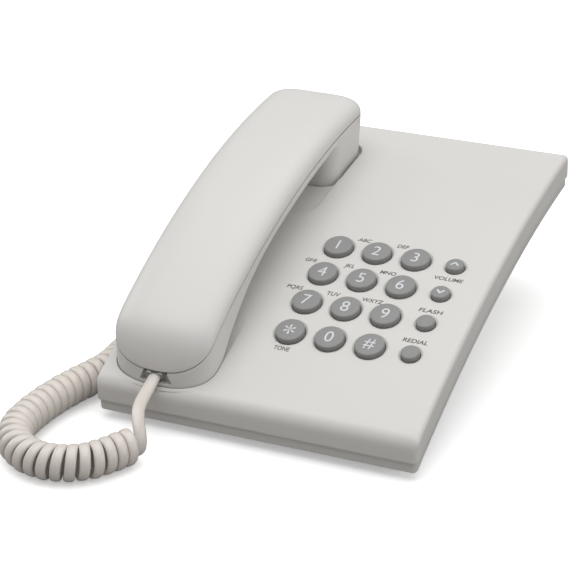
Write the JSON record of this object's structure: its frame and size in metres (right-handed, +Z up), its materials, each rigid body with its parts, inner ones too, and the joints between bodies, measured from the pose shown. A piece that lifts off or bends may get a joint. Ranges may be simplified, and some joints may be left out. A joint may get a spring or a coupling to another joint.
{
  "type": "corded desk telephone",
  "caption": "Corded desk telephone: sloping base with round push keys, arched handset resting on its left side, coiled handset cord and a clip-on rear stand.",
  "frame": {"origin": "centre of the base's footprint rectangle, on the table under the feet", "axes": "+X to the right of a person facing the keys, +Y to the back, +Z up"},
  "size_m": [0.1795, 0.2621, 0.0921],
  "materials": {
    "housing": "fine satin moulding, warm white",
    "key": "satin mid grey with pale figures",
    "inner_plastic": "plain moulding",
    "cord": "soft glossy jacket",
    "plug": "clear moulding",
    "black_plastic": "plain black moulding",
    "rubber": "matt rubber",
    "membrane": "silicone rubber",
    "board": "solder mask over laminate",
    "steel": "zinc plated"
  },
  "bodies": {
    "base": {"upper_housing": "housing", "lower_housing": "housing", "desk_stand": "housing", "rubber_feet": "rubber", "housing_screws": "steel", "main_board": "board", "keypad_membrane": "membrane", "hook_spring": "steel", "hook_switch": "black_plastic", "ringer_sounder": "black_plastic", "slide_switches": "steel", "line_jack": "black_plastic", "cord_jack": "black_plastic", "cord_plug_base": "plug", "coiled_cord": "cord"},
    "handset": {"handset_outer_shell": "housing", "handset_inner_shell": "housing", "receiver": "black_plastic", "receiver_ring": "rubber", "microphone": "steel", "microphone_boot": "rubber", "handset_weight": "steel", "handset_jack": "black_plastic", "handset_screws": "steel", "cord_plug_handset": "plug"},
    "hook_plunger": {"hook_plunger": "inner_plastic"},
    "ringer_knob": {"ringer_knob": "key"},
    "mode_knob": {"mode_knob": "key"},
    "handset_hook": {"handset_hook": "housing"},
    "key_1": {"key_1": "key"},
    "key_2": {"key_2": "key"},
    "key_3": {"key_3": "key"},
    "key_4": {"key_4": "key"},
    "key_5": {"key_5": "key"},
    "key_6": {"key_6": "key"},
    "key_7": {"key_7": "key"},
    "key_8": {"key_8": "key"},
    "key_9": {"key_9": "key"},
    "key_star": {"key_star": "key"},
    "key_0": {"key_0": "key"},
    "key_hash": {"key_hash": "key"},
    "key_volume_up": {"key_volume_up": "key"},
    "key_volume_down": {"key_volume_down": "key"},
    "key_flash": {"key_flash": "key"},
    "key_redial": {"key_redial": "key"}
  },
  "joints": [
    {"name": "handset_lift", "type": "slide", "parent": "base", "child": "handset", "axis": [0, 0, 1], "range_m": [0, 0.1], "deforming": ["coiled_cord"]},
    {"name": "hook_travel", "type": "slide", "parent": "base", "child": "hook_plunger", "axis": [0, 0, 1], "range_m": [0, 0.0022], "deforming": ["hook_spring"]},
    {"name": "key_1_press", "type": "slide", "parent": "base", "child": "key_1", "axis": [0, 0.2292, -0.9734], "range_m": [0, 0.0012], "deforming": ["keypad_membrane"]},
    {"name": "key_2_press", "type": "slide", "parent": "base", "child": "key_2", "axis": [0, 0.2292, -0.9734], "range_m": [0, 0.0012], "deforming": ["keypad_membrane"]},
    {"name": "key_3_press", "type": "slide", "parent": "base", "child": "key_3", "axis": [0, 0.2292, -0.9734], "range_m": [0, 0.0012], "deforming": ["keypad_membrane"]},
    {"name": "key_4_press", "type": "slide", "parent": "base", "child": "key_4", "axis": [0, 0.2599, -0.9656], "range_m": [0, 0.0012], "deforming": ["keypad_membrane"]},
    {"name": "key_5_press", "type": "slide", "parent": "base", "child": "key_5", "axis": [0, 0.2599, -0.9656], "range_m": [0, 0.0012], "deforming": ["keypad_membrane"]},
    {"name": "key_6_press", "type": "slide", "parent": "base", "child": "key_6", "axis": [0, 0.2599, -0.9656], "range_m": [0, 0.0012], "deforming": ["keypad_membrane"]},
    {"name": "key_7_press", "type": "slide", "parent": "base", "child": "key_7", "axis": [0, 0.2904, -0.9569], "range_m": [0, 0.0012], "deforming": ["keypad_membrane"]},
    {"name": "key_8_press", "type": "slide", "parent": "base", "child": "key_8", "axis": [0, 0.2904, -0.9569], "range_m": [0, 0.0012], "deforming": ["keypad_membrane"]},
    {"name": "key_9_press", "type": "slide", "parent": "base", "child": "key_9", "axis": [0, 0.2904, -0.9569], "range_m": [0, 0.0012], "deforming": ["keypad_membrane"]},
    {"name": "key_star_press", "type": "slide", "parent": "base", "child": "key_star", "axis": [0, 0.3206, -0.9472], "range_m": [0, 0.0012], "deforming": ["keypad_membrane"]},
    {"name": "key_0_press", "type": "slide", "parent": "base", "child": "key_0", "axis": [0, 0.3206, -0.9472], "range_m": [0, 0.0012], "deforming": ["keypad_membrane"]},
    {"name": "key_hash_press", "type": "slide", "parent": "base", "child": "key_hash", "axis": [0, 0.3206, -0.9472], "range_m": [0, 0.0012], "deforming": ["keypad_membrane"]},
    {"name": "key_volume_up_press", "type": "slide", "parent": "base", "child": "key_volume_up", "axis": [0, 0.2292, -0.9734], "range_m": [0, 0.0012], "deforming": ["keypad_membrane"]},
    {"name": "key_volume_down_press", "type": "slide", "parent": "base", "child": "key_volume_down", "axis": [0, 0.2599, -0.9656], "range_m": [0, 0.0012], "deforming": ["keypad_membrane"]},
    {"name": "key_flash_press", "type": "slide", "parent": "base", "child": "key_flash", "axis": [0, 0.2904, -0.9569], "range_m": [0, 0.0012], "deforming": ["keypad_membrane"]},
    {"name": "key_redial_press", "type": "slide", "parent": "base", "child": "key_redial", "axis": [0, 0.3206, -0.9472], "range_m": [0, 0.0012], "deforming": ["keypad_membrane"]},
    {"name": "ringer_slide", "type": "slide", "parent": "base", "child": "ringer_knob", "axis": [1, 0, 0], "range_m": [0, 0.006]},
    {"name": "mode_slide", "type": "slide", "parent": "base", "child": "mode_knob", "axis": [1, 0, 0], "range_m": [0, 0.004]},
    {"name": "handset_hook_pull", "type": "slide", "parent": "base", "child": "handset_hook", "axis": [0, -0.0766, 0.9971], "range_m": [0, 0.012]}
  ],
  "couplings": [
    {"joint": "hook_travel", "follows": "handset_lift", "ratio": 0.022}
  ]
}
